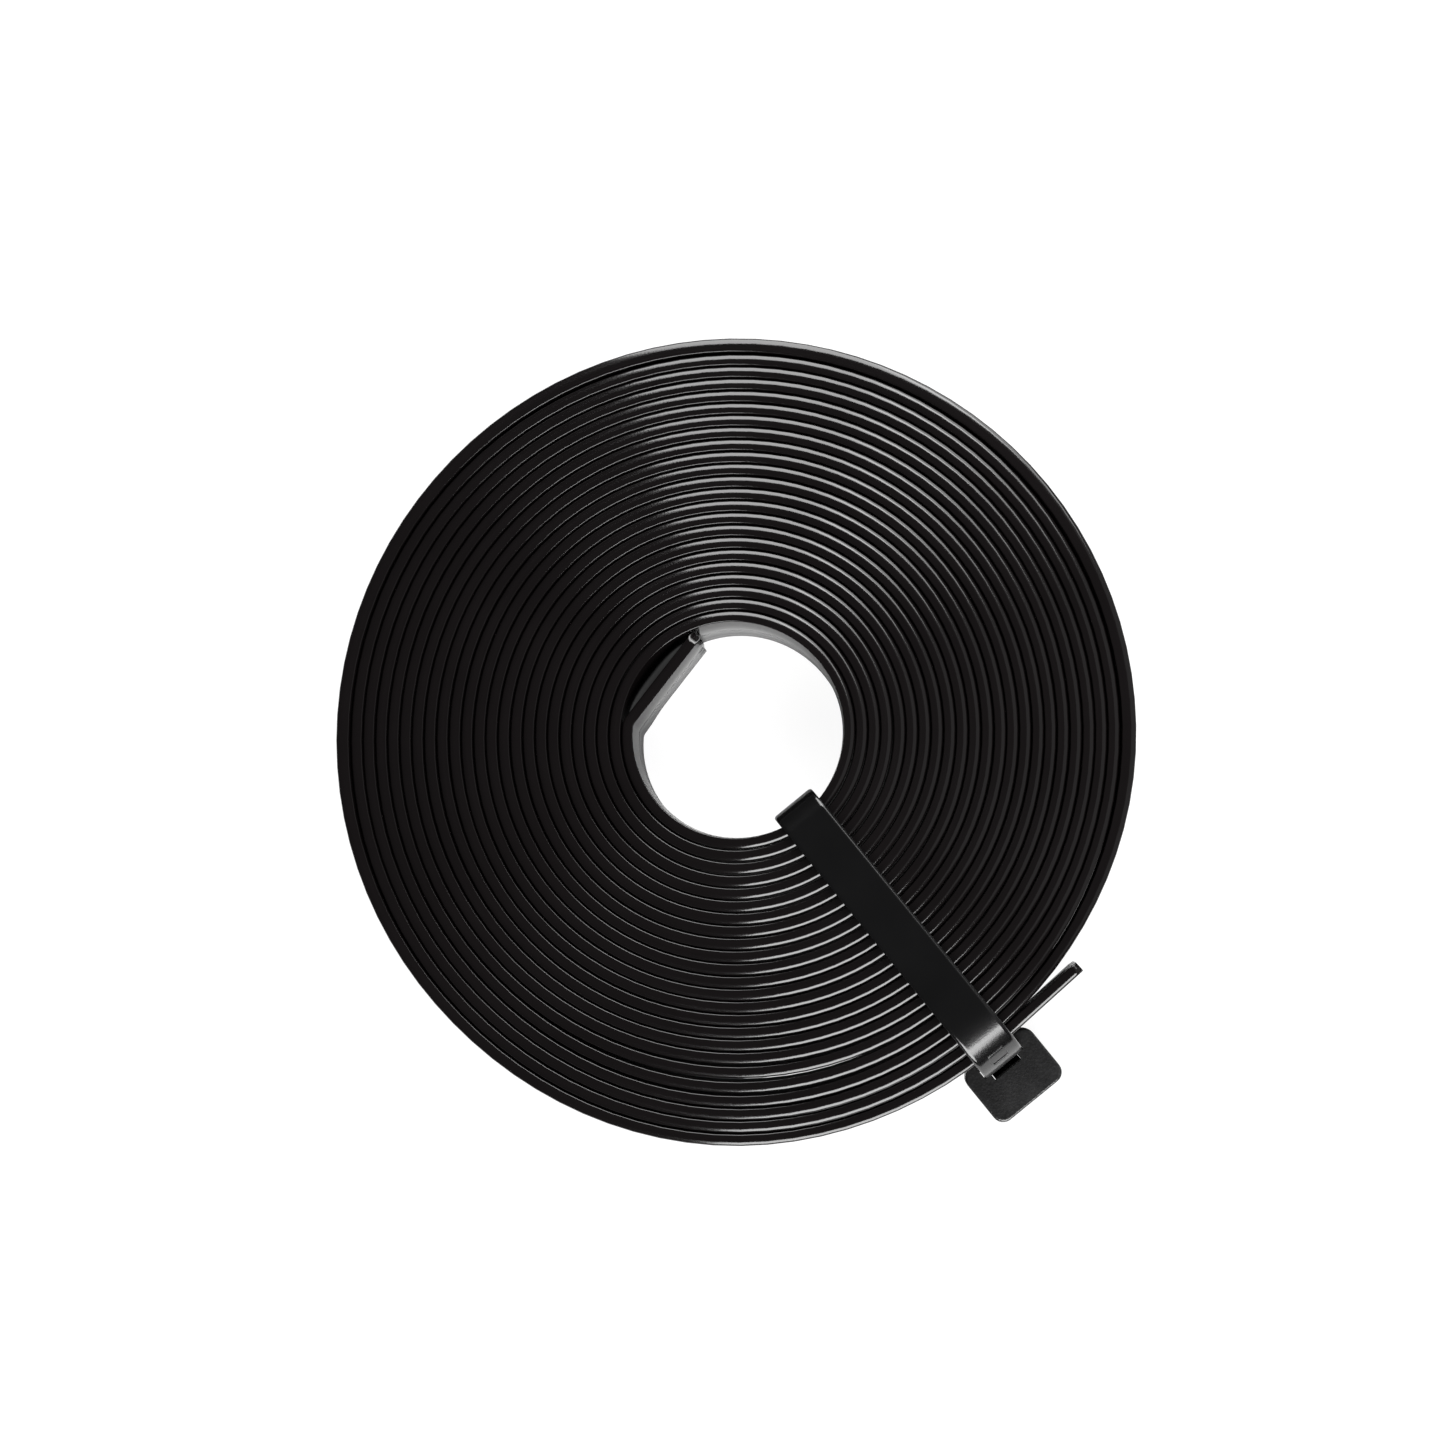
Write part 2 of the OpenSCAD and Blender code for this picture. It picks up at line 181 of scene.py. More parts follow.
def grid_mesh(name, points, uv=None, closed=False):
    """A mesh from rings of points, rows by columns by 3. Each ring is closed. The rows are joined in
    order, the first and last rings are capped, or joined to each other where closed is true. Faces are
    turned outward by the sign of the volume that they enclose."""
    rows, cols = points.shape[:2]
    ring = np.arange(rows if closed else rows - 1)[:, None]
    col = np.arange(cols)[None, :]
    after, beside = (ring + 1) % rows, (col + 1) % cols
    here, onward = ring * cols, after * cols
    quads = np.stack([here + col, here + beside, onward + beside, onward + col], -1).reshape(-1, 4)
    flat = points.reshape(-1, 3)
    a, b, c, d = (flat[quads[:, k]] for k in range(4))
    middle = flat.mean(0)
    volume = np.einsum("ij,ij->", a - middle, np.cross(b - a, c - a) + np.cross(c - a, d - a))
    if volume < 0:
        quads = quads[:, ::-1]
    corners = [quads.ravel()]
    counts = [np.full(len(quads), 4)]
    if not closed:
        first, last = np.arange(cols), (rows - 1) * cols + np.arange(cols)
        caps = (first, last[::-1]) if volume < 0 else (first[::-1], last)
        corners += [np.concatenate(caps)]
        counts += [np.full(2, cols)]
    corners, counts = np.concatenate(corners), np.concatenate(counts)
    mesh = bpy.data.meshes.new(name)
    mesh.vertices.add(len(flat))
    mesh.vertices.foreach_set("co", flat.astype(np.float32).ravel())
    mesh.loops.add(len(corners))
    mesh.loops.foreach_set("vertex_index", corners.astype(np.int32))
    mesh.polygons.add(len(counts))
    mesh.polygons.foreach_set("loop_start", np.concatenate([[0], np.cumsum(counts)[:-1]]).astype(np.int32))
    mesh.polygons.foreach_set("use_smooth", np.ones(len(counts), bool))
    if uv is not None:
        layer = mesh.uv_layers.new(name="UVMap")
        layer.data.foreach_set("uv", uv.reshape(-1, 2)[corners].astype(np.float32).ravel())
    mesh.update(calc_edges=True)
    mesh.validate()
    piece = bpy.data.objects.new(name, mesh)
    bpy.context.scene.collection.objects.link(piece)
    return piece


def finish_piece(piece, material, body, slot, *nodes):
    """Gives a piece its material and its body, and hides the CAD nodes that it stands for. The slot is not
    used.
    """
    piece.data.materials.clear()
    piece.data.materials.append(material)
    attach(piece, body)
    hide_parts(*nodes)
    return piece


# ---- shader maths --------------------------------------------------------------------------------


class Wire:
    """A shader socket that takes part in Python expressions. Each operator adds one Math node."""

    def __init__(self, tree, socket):
        self.tree, self.socket = tree, socket

    def node(self, kind, settings=None, out=0, **values):
        """Adds a node, sets its settings first, then its sockets by name or _index, and returns one
        output."""
        made = self.tree.nodes.new(kind)
        for key, value in (settings or {}).items():
            setattr(made, key, value)
        for key, value in values.items():
            socket = made.inputs[int(key[1:]) if key[0] == "_" else key]
            if isinstance(value, Wire):
                self.tree.links.new(value.socket, socket)
            else:
                socket.default_value = value
        return Wire(self.tree, made.outputs[out])

    def math(self, operation, a, b=0.0):
        """One Math node on two values."""
        return self.node("ShaderNodeMath", {"operation": operation}, _0=a, _1=b)

    def __add__(self, other):
        return self.math("ADD", self, other)

    def __radd__(self, other):
        return self.math("ADD", other, self)

    def __sub__(self, other):
        return self.math("SUBTRACT", self, other)

    def __rsub__(self, other):
        return self.math("SUBTRACT", other, self)

    def __mul__(self, other):
        return self.math("MULTIPLY", self, other)

    def __rmul__(self, other):
        return self.math("MULTIPLY", other, self)

    def blend(self, low, high):
        """A colour that goes from low to high as this value goes from 0 to 1."""
        return self.node("ShaderNodeMix", {"data_type": "RGBA"}, out=2, _0=self,
                         _6=(*low, 1.0), _7=(*high, 1.0))


def shader(name, build):
    """A node material whose surface comes from build, which is given a wire on the tree."""
    material = bpy.data.materials.new(name)
    material.use_nodes = True
    tree = material.node_tree
    tree.nodes.clear()
    surface = build(Wire(tree, None))
    output = tree.nodes.new("ShaderNodeOutputMaterial")
    tree.links.new(surface.socket, output.inputs["Surface"])
    return material


def lighter(shade, factor):
    """A colour multiplied by a factor."""
    return tuple(c * factor for c in shade)


# Streaks per metre along the hose and round its section
STREAKS = (14.0, 900.0, 1.0)


def hose_plastic(shade):
    """Soft glossy plastic, drawn into faint streaks along the hose, with a finer grain over them."""

    def build(w):
        uv = w.node("ShaderNodeTexCoord", out="UV")
        drawn = w.node("ShaderNodeMapping", _0=uv, _3=STREAKS)
        streak = w.node("ShaderNodeTexNoise", _0=drawn, Scale=1.0, Detail=3.0, Roughness=0.55)
        place = w.node("ShaderNodeTexCoord", out="Object")
        cloud = w.node("ShaderNodeTexNoise", _0=place, Scale=60.0, Detail=3.0)
        grain = w.node("ShaderNodeTexNoise", _0=place, Scale=2600.0, Detail=2.0)
        height = streak * 0.6 + grain * 0.4
        bump = w.node("ShaderNodeBump", Strength=0.25, Distance=0.00006, Height=height)
        return w.node(
            "ShaderNodeBsdfPrincipled",
            _0=(cloud * 0.6 + streak * 0.4).blend(lighter(shade, 0.7), lighter(shade, 1.5)),
            Roughness=0.08 + streak * 0.05 + cloud * 0.03,
            IOR=1.5,
            Normal=bump,
        )

    return shader("hose_plastic", build)


def strap_nylon(shade):
    """Smooth nylon: a light satin with faint clouds and a fine grain."""

    def build(w):
        place = w.node("ShaderNodeTexCoord", out="Object")
        cloud = w.node("ShaderNodeTexNoise", _0=place, Scale=90.0, Detail=2.0)
        grain = w.node("ShaderNodeTexNoise", _0=place, Scale=3500.0, Detail=2.0)
        bump = w.node("ShaderNodeBump", Strength=0.2, Distance=0.00004, Height=grain + cloud)
        return w.node(
            "ShaderNodeBsdfPrincipled",
            _0=cloud.blend(lighter(shade, 0.8), lighter(shade, 1.3)),
            Roughness=0.13 + cloud * 0.06,
            IOR=1.53,
            Normal=bump,
        )

    return shader("strap_nylon", build)


def head_nylon(shade):
    """Nylon from an etched mould: a fine pebble with a soft matt finish and a faint mottle of two
    sizes."""

    def build(w):
        place = w.node("ShaderNodeTexCoord", out="Object")
        pebble = w.node("ShaderNodeTexVoronoi", {"feature": "SMOOTH_F1"}, _0=place, Scale=2200.0)
        cloud = w.node("ShaderNodeTexNoise", _0=place, Scale=160.0, Detail=3.0)
        speck = w.node("ShaderNodeTexNoise", _0=place, Scale=1500.0, Detail=2.0)
        bump = w.node("ShaderNodeBump", Strength=0.45, Distance=0.00008, Height=pebble + cloud * 0.5)
        return w.node(
            "ShaderNodeBsdfPrincipled",
            _0=(cloud * 0.9 + speck * 1.1 - 0.5).blend(lighter(shade, 0.1), lighter(shade, 2.0)),
            Roughness=0.26 + cloud * 0.1,
            IOR=1.53,
            Normal=bump,
        )

    return shader("head_nylon", build)


# Shares of white glow that camera rays and mirror rays see on the floor, and the glow's strength
CAMERA_GLOW = 0.82
MIRROR_GLOW = 0.06
FLOOR_GLOW = 1.15


def white_to_camera(w, lit, glow):
    """Mixes a white glow into a lit surface: most of it for camera and see-through rays, less for mirror
    rays."""
    path = w.tree.nodes.new("ShaderNodeLightPath")
    kinds = ("Camera", "Glossy", "Transmission")
    seen, mirrored, through = (Wire(w.tree, path.outputs[f"Is {kind} Ray"]) for kind in kinds)
    shown = w.math("MAXIMUM", seen, through) * CAMERA_GLOW + mirrored * MIRROR_GLOW
    return w.node("ShaderNodeMixShader", _0=shown, _1=lit, _2=glow)


def floor_white(shade):
    """A matt white floor that keeps a faint shadow and shows white to the camera and in reflections."""

    def build(w):
        cloud = w.node("ShaderNodeTexNoise", Scale=3.0, Detail=2.0)
        lit = w.node("ShaderNodeBsdfDiffuse", _0=cloud.blend(lighter(shade, 0.98), shade))
        glow = w.node("ShaderNodeEmission", _0=(1.0, 1.0, 1.0, 1.0), _1=FLOOR_GLOW)
        return white_to_camera(w, lit, glow)

    return shader("floor_white", build)


# ---- the hose ------------------------------------------------------------------------------------

# Rows along a turn, a straight end and the crease, points along the stretches of the section, and the
# shares of its level top at which it has points
ROWS_PER_TURN = 96
STRAIGHT_ROWS = 12
CREASE_ROWS = 8
FOLD_PARTS = 8
INNER_PARTS = 6
SIDE_PARTS = 7
FOOT_PARTS = 6
LEVEL_SHARES = (0.15, 0.85)

# The hump over the strap: degrees to either side where it is level and where it ends, and the radius
# inside which it ends further away
HUMP_FLAT = 15.0
HUMP_FOOT = 45.0
HUMP_SPREAD = 60.0 * MM

# The slack of the outermost turn, in turns: how soon it is full, and where it starts to close again
LOOSE_FULL = 0.13
LOOSE_UNTIL = 0.6

# The belly: degrees from the tie to its middle and half its width, and turns from the outer end to where
# it starts and to where it is full
BELLY_LEAD = 40.0
BELLY_HALF = 48.0
BELLY_FROM = 6.0
BELLY_FULL = 3.0

# The foot that leans in behind the inner end, in turns: its middle and half its length
SAG_TURN = 0.905
SAG_HALF = 0.085

# The waver: turns over which it sets in at both ends, and its lift as a multiple of its sideways move
STEADY_TURNS = 0.2
LIFT_SHARE = 1.5

# Turns from the outer end that the strap presses down, and the inner end's length over that of its
# splay's fade
PRESS_TURNS = 1.6
SPLAY_FADE = 3.0


def hose_section(s):
    """The flat hose's section as distance outward from its middle and height: an upper fold with a wide
    quarter ellipse on the outer side, a nearly level top and a tight quarter ellipse on the inner side,
    two sides that swell a little and sway together once from fold to fold, and a lower fold that is a
    half circle cut off at the floor."""
    r = s.thickness / 2
    full = r + s.fullness
    q = np.radians(np.linspace(0.0, 90.0, FOLD_PARTS + 1))
    outer = np.stack([full - s.outer_round * (1.0 - np.cos(q)),
                      s.height - s.outer_drop * (1.0 - np.sin(q))], -1)
    q = np.radians(np.linspace(90.0, 180.0, INNER_PARTS + 1))
    inner = np.stack([s.inner_round * (1.0 + np.cos(q)) - full,
                      s.height - s.top_tilt - s.inner_drop * (1.0 - np.sin(q))], -1)
    level = outer[-1] + np.array(LEVEL_SHARES)[:, None] * (inner[0] - outer[-1])
    low = r - s.foot
    sides = np.linspace(s.height - r, low, SIDE_PARTS + 2)[1:-1]
    share = (sides - low) / (s.height - r - low)
    half = r + s.fullness * share + r * s.swell * np.sin(np.pi * share)
    sway = s.sway * np.sin(2 * np.pi * share)
    foot = np.radians(np.linspace(180.0, 360.0, FOOT_PARTS + 1))
    bottom = np.stack([r * np.cos(foot), np.maximum(low + r * np.sin(foot), 0.0)], -1)
    left = np.stack([sway - half, sides], -1)
    right = np.stack([sway + half, sides], -1)[::-1]
    return np.concatenate([outer, level, inner, left, bottom, right])


def slit_section(s, section):
    """The opening between the walls: the section squeezed to the slit's width and kept off both folds."""
    share = section[:, 1] / s.height
    edge = s.thickness - s.slit
    return np.stack([section[:, 0] * s.slit / s.thickness, edge + share * (s.height - 2 * edge)], -1)


def waver(turn, azimuth, phase):
    """A slow unevenness between -1 and 1: three sines of the azimuth and the turn with unlike periods."""
    a = np.radians(azimuth)
    return (np.sin(3 * a + 1.7 * turn + phase) + np.sin(5 * a - 0.9 * turn + 2.1 * phase)
            + np.sin(2 * a + 0.37 * turn * turn + 0.6 * phase)) / 3.0


def hose_path(s, tie_azimuth):
    """The hose in plan from the inner cut to the outer cut: a straight, the crease's arc, a spiral that
    grows by one pitch a turn, and a straight. Gives the place of its middle, the outward direction, the
    rise of its foot, the further rise of its crest, how far its foot leans inward, and how far its top
    swells inward."""
    start = np.radians(s.crease_azimuth)
    crease = np.array([np.cos(start), np.sin(start)]) * (s.crease_radius - s.crease_bend)
    bend = start - np.radians(s.crease_angle)
    out = np.array([np.cos(bend), np.sin(bend)])
    on = np.array([np.sin(bend), -np.cos(bend)])
    run = np.linspace(s.inner_end, 0.0, STRAIGHT_ROWS)[:, None]
    inner = crease + s.crease_bend * out + run * on
    inner_out = np.repeat(out[None], len(run), 0)
    a = np.linspace(bend, start, CREASE_ROWS + 2)[1:-1]
    arc_out = np.stack([np.cos(a), np.sin(a)], -1)
    arc = crease + s.crease_bend * arc_out

    turn = np.linspace(0.0, s.turns, int(s.turns * ROWS_PER_TURN) + 1)
    azimuth = s.crease_azimuth + TURN * turn
    left = s.turns - turn
    loose = s.slack * smooth((1.0 - left) / LOOSE_FULL) * smooth(left / LOOSE_UNTIL)
    bulge = s.belly * smooth((BELLY_FROM - left) / (BELLY_FROM - BELLY_FULL)) * smooth(
        1.0 - apart(azimuth, tie_azimuth - BELLY_LEAD) / BELLY_HALF)
    steady = s.waver * smooth(turn / STEADY_TURNS) * smooth(left / STEADY_TURNS)
    pitch = s.thickness + s.gap
    radius = s.crease_radius + pitch * turn + loose + bulge + steady * waver(turn, azimuth, 0.4)
    a = np.radians(azimuth)
    coil_out = np.stack([np.cos(a), np.sin(a)], -1)
    coil = radius[:, None] * coil_out
    spread = HUMP_FOOT * (1.0 + smooth((HUMP_SPREAD - radius) / (HUMP_SPREAD - s.crease_radius)))
    rise = s.hump * smooth((spread - apart(azimuth, tie_azimuth)) / (spread - HUMP_FLAT))
    lift = LIFT_SHARE * steady * (1.0 + waver(turn, azimuth, 2.9)) * (1.0 - rise / s.hump)
    lift -= s.press * smooth(PRESS_TURNS - left) * rise / s.hump

    end = a[-1]
    on = np.array([-np.sin(end), np.cos(end)])
    run = np.linspace(0.0, s.outer_end, STRAIGHT_ROWS + 1)[1:, None]
    outer = coil[-1] + run * on
    outer_out = np.repeat(coil_out[-1:], len(run), 0)

    place = np.concatenate([inner, arc, coil, outer])
    outward = np.concatenate([inner_out, arc_out, coil_out, outer_out])
    level = np.zeros(len(inner) + len(arc))
    foot = np.concatenate([level, rise, np.full(len(run), rise[-1])])
    top = np.concatenate([level, lift, lift[-1] * np.linspace(1.0, 0.0, len(run))])
    sag = s.sag * smooth(1.0 - np.abs(turn - SAG_TURN) / SAG_HALF)
    splay = -s.splay * smooth(np.linspace(SPLAY_FADE, 0.0, len(inner)))
    lean = np.concatenate([splay, np.zeros(len(arc)), loose + sag, np.zeros(len(run))])
    swollen = np.concatenate([level, s.fill * loose, np.zeros(len(run))])
    return place, outward, foot, top, lean, swollen


def hose_surface(s, tie_azimuth):
    """The section carried along the path. Each point moves inward by the lean times its depth below the
    top, and by the swelling times its height times a smooth step from the outer side to the inner side.
    At each cut the surface turns in over the wall's edge and runs back between the walls as a slit, whose
    far end is capped."""
    section = hose_section(s)
    slit = slit_section(s, section)
    place, outward, foot, top, lean, swollen = hose_path(s, tie_azimuth)
    share = section[:, 1] / s.height

    def rings(shape, rows):
        inner_side = share * smooth(0.5 - shape[:, 0] / s.thickness)
        out = shape[:, 0] - lean[rows][:, None] * (1.0 - share) - swollen[rows][:, None] * inner_side
        x = out[..., None] * outward[rows][:, None, :] + place[rows][:, None, :]
        z = shape[None, :, 1] + foot[rows][:, None] + top[rows][:, None] * share[None, :]
        return np.concatenate([x, z[..., None]], -1)

    rows = np.arange(len(place))
    body = rings(section, rows)
    step = np.linalg.norm(np.diff(place, axis=0), axis=1)
    along = np.concatenate([[0.0], np.cumsum(step)])
    deep = int(np.searchsorted(along, s.mouth))
    inner_slit = rings(slit, rows[deep::-1])[::-1]
    deep = int(np.searchsorted(along[-1] - along[::-1], s.mouth))
    outer_slit = rings(slit, rows[: -deep - 2 : -1])
    points = np.concatenate([inner_slit, body, outer_slit])
    ahead = np.concatenate([along[len(inner_slit) - 1::-1], along, along[: -len(outer_slit) - 1 : -1]])
    around = np.concatenate([[0.0], np.cumsum(np.linalg.norm(np.diff(section, axis=0), axis=1))])
    uv = np.stack(np.broadcast_arrays(ahead[:, None], around[None, :]), -1)
    return points, uv


# ---- the tie -------------------------------------------------------------------------------------

# Steps along the strap: metres on its straight runs and degrees round its bends
RUN_STEP = 1.5 * MM
BEND_STEP = 3.0

# The strap's teeth: how many, the slope of their ledges in degrees and the land above each
TEETH = 9
TOOTH_SLOPE = 20.0
TOOTH_LAND = 0.15 * MM

# The strap's section: points along a rounded edge, how much wider the toothed band is than the pawl, the
# width of the band's flanks, the strip kept flat beside the rounding, and the chamfer beneath
EDGE_PARTS = 6
BAND_PLAY = 0.4 * MM
BAND_STEP = 0.02 * MM
EDGE_KEEP = 0.05 * MM
UNDER_CHAMFER = 0.15 * MM

# The raised border: half the width of its ridge, its height, its corner radius and the points round it
RIDGE_WIDE = 0.24 * MM
RIDGE_HIGH = 0.16 * MM
BORDER_CORNER = 0.5 * MM
BORDER_POINTS = 120


def tie_azimuth(s, t):
    """Direction of the tie in degrees: a few degrees short of the hose's outer end."""
    return (s.crease_azimuth + TURN * s.turns - t.lead) % TURN


def tie_places(s, t):
    """Where the tie's parts lie, from the winding: the tie's azimuth, the strap's runs in the bore,
    outside and on top, the head's near face, the strap's outer face, the pawl's face and its root."""
    azimuth = tie_azimuth(s, t)
    pitch, half = s.thickness + s.gap, s.thickness / 2
    bore_wall = s.crease_radius + pitch * (s.turns % 1.0) - half
    ahead = apart(azimuth + t.lead, azimuth - BELLY_LEAD)
    outer_wall = s.crease_radius + pitch * s.turns + half + s.belly * smooth(1.0 - ahead / BELLY_HALF)
    outer = outer_wall + t.standoff + t.thickness / 2
    face = outer + t.thickness / 2
    pawl_face = face + t.tooth_play + t.tooth_step
    return SimpleNamespace(
        azimuth=azimuth,
        bore=bore_wall - t.bore_standoff - t.thickness / 2,
        outer=outer,
        top=s.height + s.hump + t.crown + t.running + t.thickness / 2,
        near=outer_wall + t.running,
        face=face,
        pawl_face=pawl_face,
        pawl_root=pawl_face + t.pawl_thickness,
    )


def tie_frame(azimuth, points):
    """Turns (u, v, z) points to the coil's frame by the tie's azimuth."""
    a = np.radians(azimuth)
    turn = np.array([[np.cos(a), -np.sin(a), 0.0], [np.sin(a), np.cos(a), 0.0], [0.0, 0.0, 1.0]])
    return points @ turn.T


def tooth_ledge(t):
    """Height of the sloping ledge of a tooth: its depth times the tangent of its slope."""
    return t.tooth_depth * np.tan(np.radians(TOOTH_SLOPE))


def strap_stations(t, p):
    """Places and headings of the strap's middle in the u-z plane: runs in short steps and bends in arcs,
    from the head's near face under the coil, up the bore, over the top and down through the head. The
    third result is how deep the toothed band is sunk at each station."""
    shoulder = np.radians(t.shoulder_angle)
    shoulder_reach = t.shoulder_bend * np.sin(shoulder)
    corner_reach = t.corner_bend * (1.0 - np.sin(shoulder))
    path = [
        (p.near - p.bore - t.foot_bend, 0.0, 0.0),
        (0.0, t.foot_bend, 90.0),
        (p.top - t.thickness / 2 - t.foot_bend - t.bore_bend, 0.0, 0.0),
        (0.0, t.bore_bend, 90.0),
        (p.outer - p.bore - t.bore_bend - shoulder_reach - corner_reach, 0.0, 0.0),
        (0.0, t.shoulder_bend, t.shoulder_angle),
        (0.0, t.corner_bend, 90.0 - t.shoulder_angle),
    ]
    at, heading = np.array([p.near, t.thickness / 2]), np.pi
    places, headings = [], []
    for run, bend, swing in path:
        if run:
            n = max(2, int(run / RUN_STEP))
            on = np.array([np.cos(heading), np.sin(heading)])
            places.append(at + np.linspace(0.0, run, n, endpoint=False)[:, None] * on)
            headings.append(np.full(n, heading))
            at = at + run * on
        else:
            n = max(4, int(swing / BEND_STEP))
            h = heading - np.radians(np.linspace(0.0, swing, n, endpoint=False))
            left = np.stack([-np.sin(h), np.cos(h)], -1)
            centre = at - bend * left[0]
            places.append(centre + bend * left)
            headings.append(h)
            heading = heading - np.radians(swing)
            at = centre + bend * np.array([-np.sin(heading), np.cos(heading)])
    heights = [at[1], t.stub]
    ledge = tooth_ledge(t)
    for k in range(TEETH):
        z = t.first_tooth + k * t.tooth_pitch
        heights += [z, z + ledge, z + t.tooth_pitch - TOOTH_LAND]
    heights = np.array(sorted(set(heights), reverse=True))
    places.append(np.stack([np.full(len(heights), at[0]), heights], -1))
    headings.append(np.full(len(heights), heading))
    places, headings = np.concatenate(places), np.concatenate(headings)
    deep = np.zeros(len(places))
    for k in range(TEETH):
        z = t.first_tooth + k * t.tooth_pitch + ledge
        deep[-len(heights):][np.abs(heights - z) < 1e-7] = t.tooth_depth
    return places, headings, deep


def strap_section(t):
    """The strap's section as distance outward from its middle and distance along v: flat beneath, square
    sides, and a quarter ellipse along each outer edge. The second result is true inside the toothed
    band."""
    r = t.thickness / 2
    half = t.width / 2
    e = np.radians(np.linspace(0.0, 90.0, EDGE_PARTS + 1))
    edge = np.stack([r - t.edge_depth * (1 - np.sin(e)), half - t.edge_width * (1 - np.cos(e))], -1)
    band = (t.pawl_width + BAND_PLAY) / 2
    beside = band + BAND_STEP
    keep = half - t.edge_width - EDGE_KEEP
    flat = np.array([[r, v] for v in (keep, beside, band, 0.0, -band, -beside, -keep)])
    low, side = r - UNDER_CHAMFER, half - UNDER_CHAMFER
    under = np.array([[-low, half], [-r, side], [-r, -side], [-low, -half]])
    other = edge[::-1] * [1.0, -1.0]
    section = np.concatenate([edge, flat, other, under[::-1]])
    toothed = (np.abs(section[:, 1]) <= band + 1e-9) & (section[:, 0] > r - 1e-9)
    return section, toothed


def strap_surface(t, p):
    """The strap's section carried along its stations, with the toothed band sunk by the depth of each
    notch."""
    places, headings, deep = strap_stations(t, p)
    section, toothed = strap_section(t)
    left = np.stack([-np.sin(headings), np.cos(headings)], -1)
    out = section[None, :, 0] - deep[:, None] * toothed[None, :]
    uz = places[:, None, :] + out[..., None] * left[:, None, :]
    v = np.broadcast_to(section[None, :, 1], out.shape)
    points = tie_frame(p.azimuth, np.stack([uz[..., 0], v, uz[..., 1]], -1))
    step = np.concatenate([[0.0], np.cumsum(np.linalg.norm(np.diff(places, axis=0), axis=1))])
    return points, np.stack(np.broadcast_arrays(step[:, None], section[None, :, 1]), -1)


def border_surface(t, p):
    """A rectangle's outline with rounded corners, drawn on the strap's outer face as a low ridge. Each
    point of the loop is placed by its distance along the strap and its distance across it."""
    wide, high = RIDGE_WIDE, RIDGE_HIGH
    places, headings, _ = strap_stations(t, p)
    half_u, half_v = t.border_along / 2, t.border_across / 2
    loop = rounded_box(-half_u, half_u, half_v, BORDER_CORNER, parts=4)
    steps = np.linalg.norm(np.diff(np.vstack([loop, loop[:1]]), axis=0), axis=1)
    reach = np.concatenate([[0.0], np.cumsum(steps)])
    at = np.linspace(0.0, reach[-1], BORDER_POINTS, endpoint=False)
    loop = np.stack([np.interp(at, reach, np.append(loop[:, k], loop[0, k])) for k in (0, 1)], -1)
    on = np.roll(loop, -1, axis=0) - np.roll(loop, 1, axis=0)
    on /= np.linalg.norm(on, axis=1, keepdims=True)
    side = np.stack([on[:, 1], -on[:, 0]], -1)
    ridge = [(-wide, -high), (-wide / 2, high), (wide / 2, high), (wide, -high)]
    rise = np.ones((len(loop), 1))
    flat = np.stack([np.concatenate([loop + w * side, h * rise], 1) for w, h in ridge], 1)
    run = np.concatenate([[0.0], np.cumsum(np.linalg.norm(np.diff(places, axis=0), axis=1))])
    corner_start = run[np.argmax(headings < np.radians(-t.shoulder_angle) - 1e-6)]
    along = corner_start + t.border_place + flat[..., 0]
    place = np.stack([np.interp(along, run, places[:, k]) for k in (0, 1)], -1)
    heading = np.interp(along, run, headings)
    left = np.stack([-np.sin(heading), np.cos(heading)], -1)
    uz = place + (t.thickness / 2 + flat[..., 2:]) * left
    return tie_frame(p.azimuth, np.stack([uz[..., 0], flat[..., 1], uz[..., 1]], -1))


# Rays round the head's slot, and the cross product below which a ray counts as parallel to an edge
RAYS = 160
PARALLEL = 1e-15

# The pawl's pocket: clearance round the pawl, room to swing, depth of the roof below the top, and its
# slant
POCKET_PLAY = 0.15 * MM
POCKET_SWING = 1.5 * MM
POCKET_ROOF = 1.25 * MM
POCKET_SLANT = 0.2 * MM

# The head's edges: radius and points of their rounding, the bevel round the slot, and the strips kept
# flat
HEAD_SOFT = 0.45 * MM
SOFT_PARTS = 4
SLOT_LIP = 0.12 * MM
KEEP = 0.08 * MM

# The pawl: depth of its pivot below the head's top, points round its root, how far its heel reaches inward
# as a share of the root's radius, and the bevel at its ends
PIVOT_DEPTH = 2.1 * MM
PAWL_ROOT_PARTS = 12
PAWL_HEEL = 0.66
PAWL_SOFT = 0.08 * MM

# The pawl's teeth: how many, their play above the strap's ledges, the step under each and the land above
PAWL_TEETH = 3
PAWL_TOOTH_PLAY = 0.12 * MM
PAWL_TOOTH_STEP = 0.01 * MM
PAWL_TOOTH_LAND = 0.25 * MM

# Degrees past which an edge stays sharp
CRISP = 35.0


def ray_outline(angles, corners, centre):
    """Distance from a centre to a convex or star-shaped polygon along each angle, by crossing every
    edge."""
    d = np.stack([np.cos(angles), np.sin(angles)], -1)
    a = corners - centre
    b = np.roll(a, -1, axis=0)
    e = b - a
    cross = d[:, None, 0] * e[None, :, 1] - d[:, None, 1] * e[None, :, 0]
    cross = np.where(np.abs(cross) < PARALLEL, PARALLEL, cross)
    along = (a[None, :, 0] * e[None, :, 1] - a[None, :, 1] * e[None, :, 0]) / cross
    share = (a[None, :, 0] * d[:, None, 1] - a[None, :, 1] * d[:, None, 0]) / cross
    hit = (along > 0) & (share >= -1e-9) & (share <= 1 + 1e-9)
    return np.where(hit, along, np.inf).min(1)


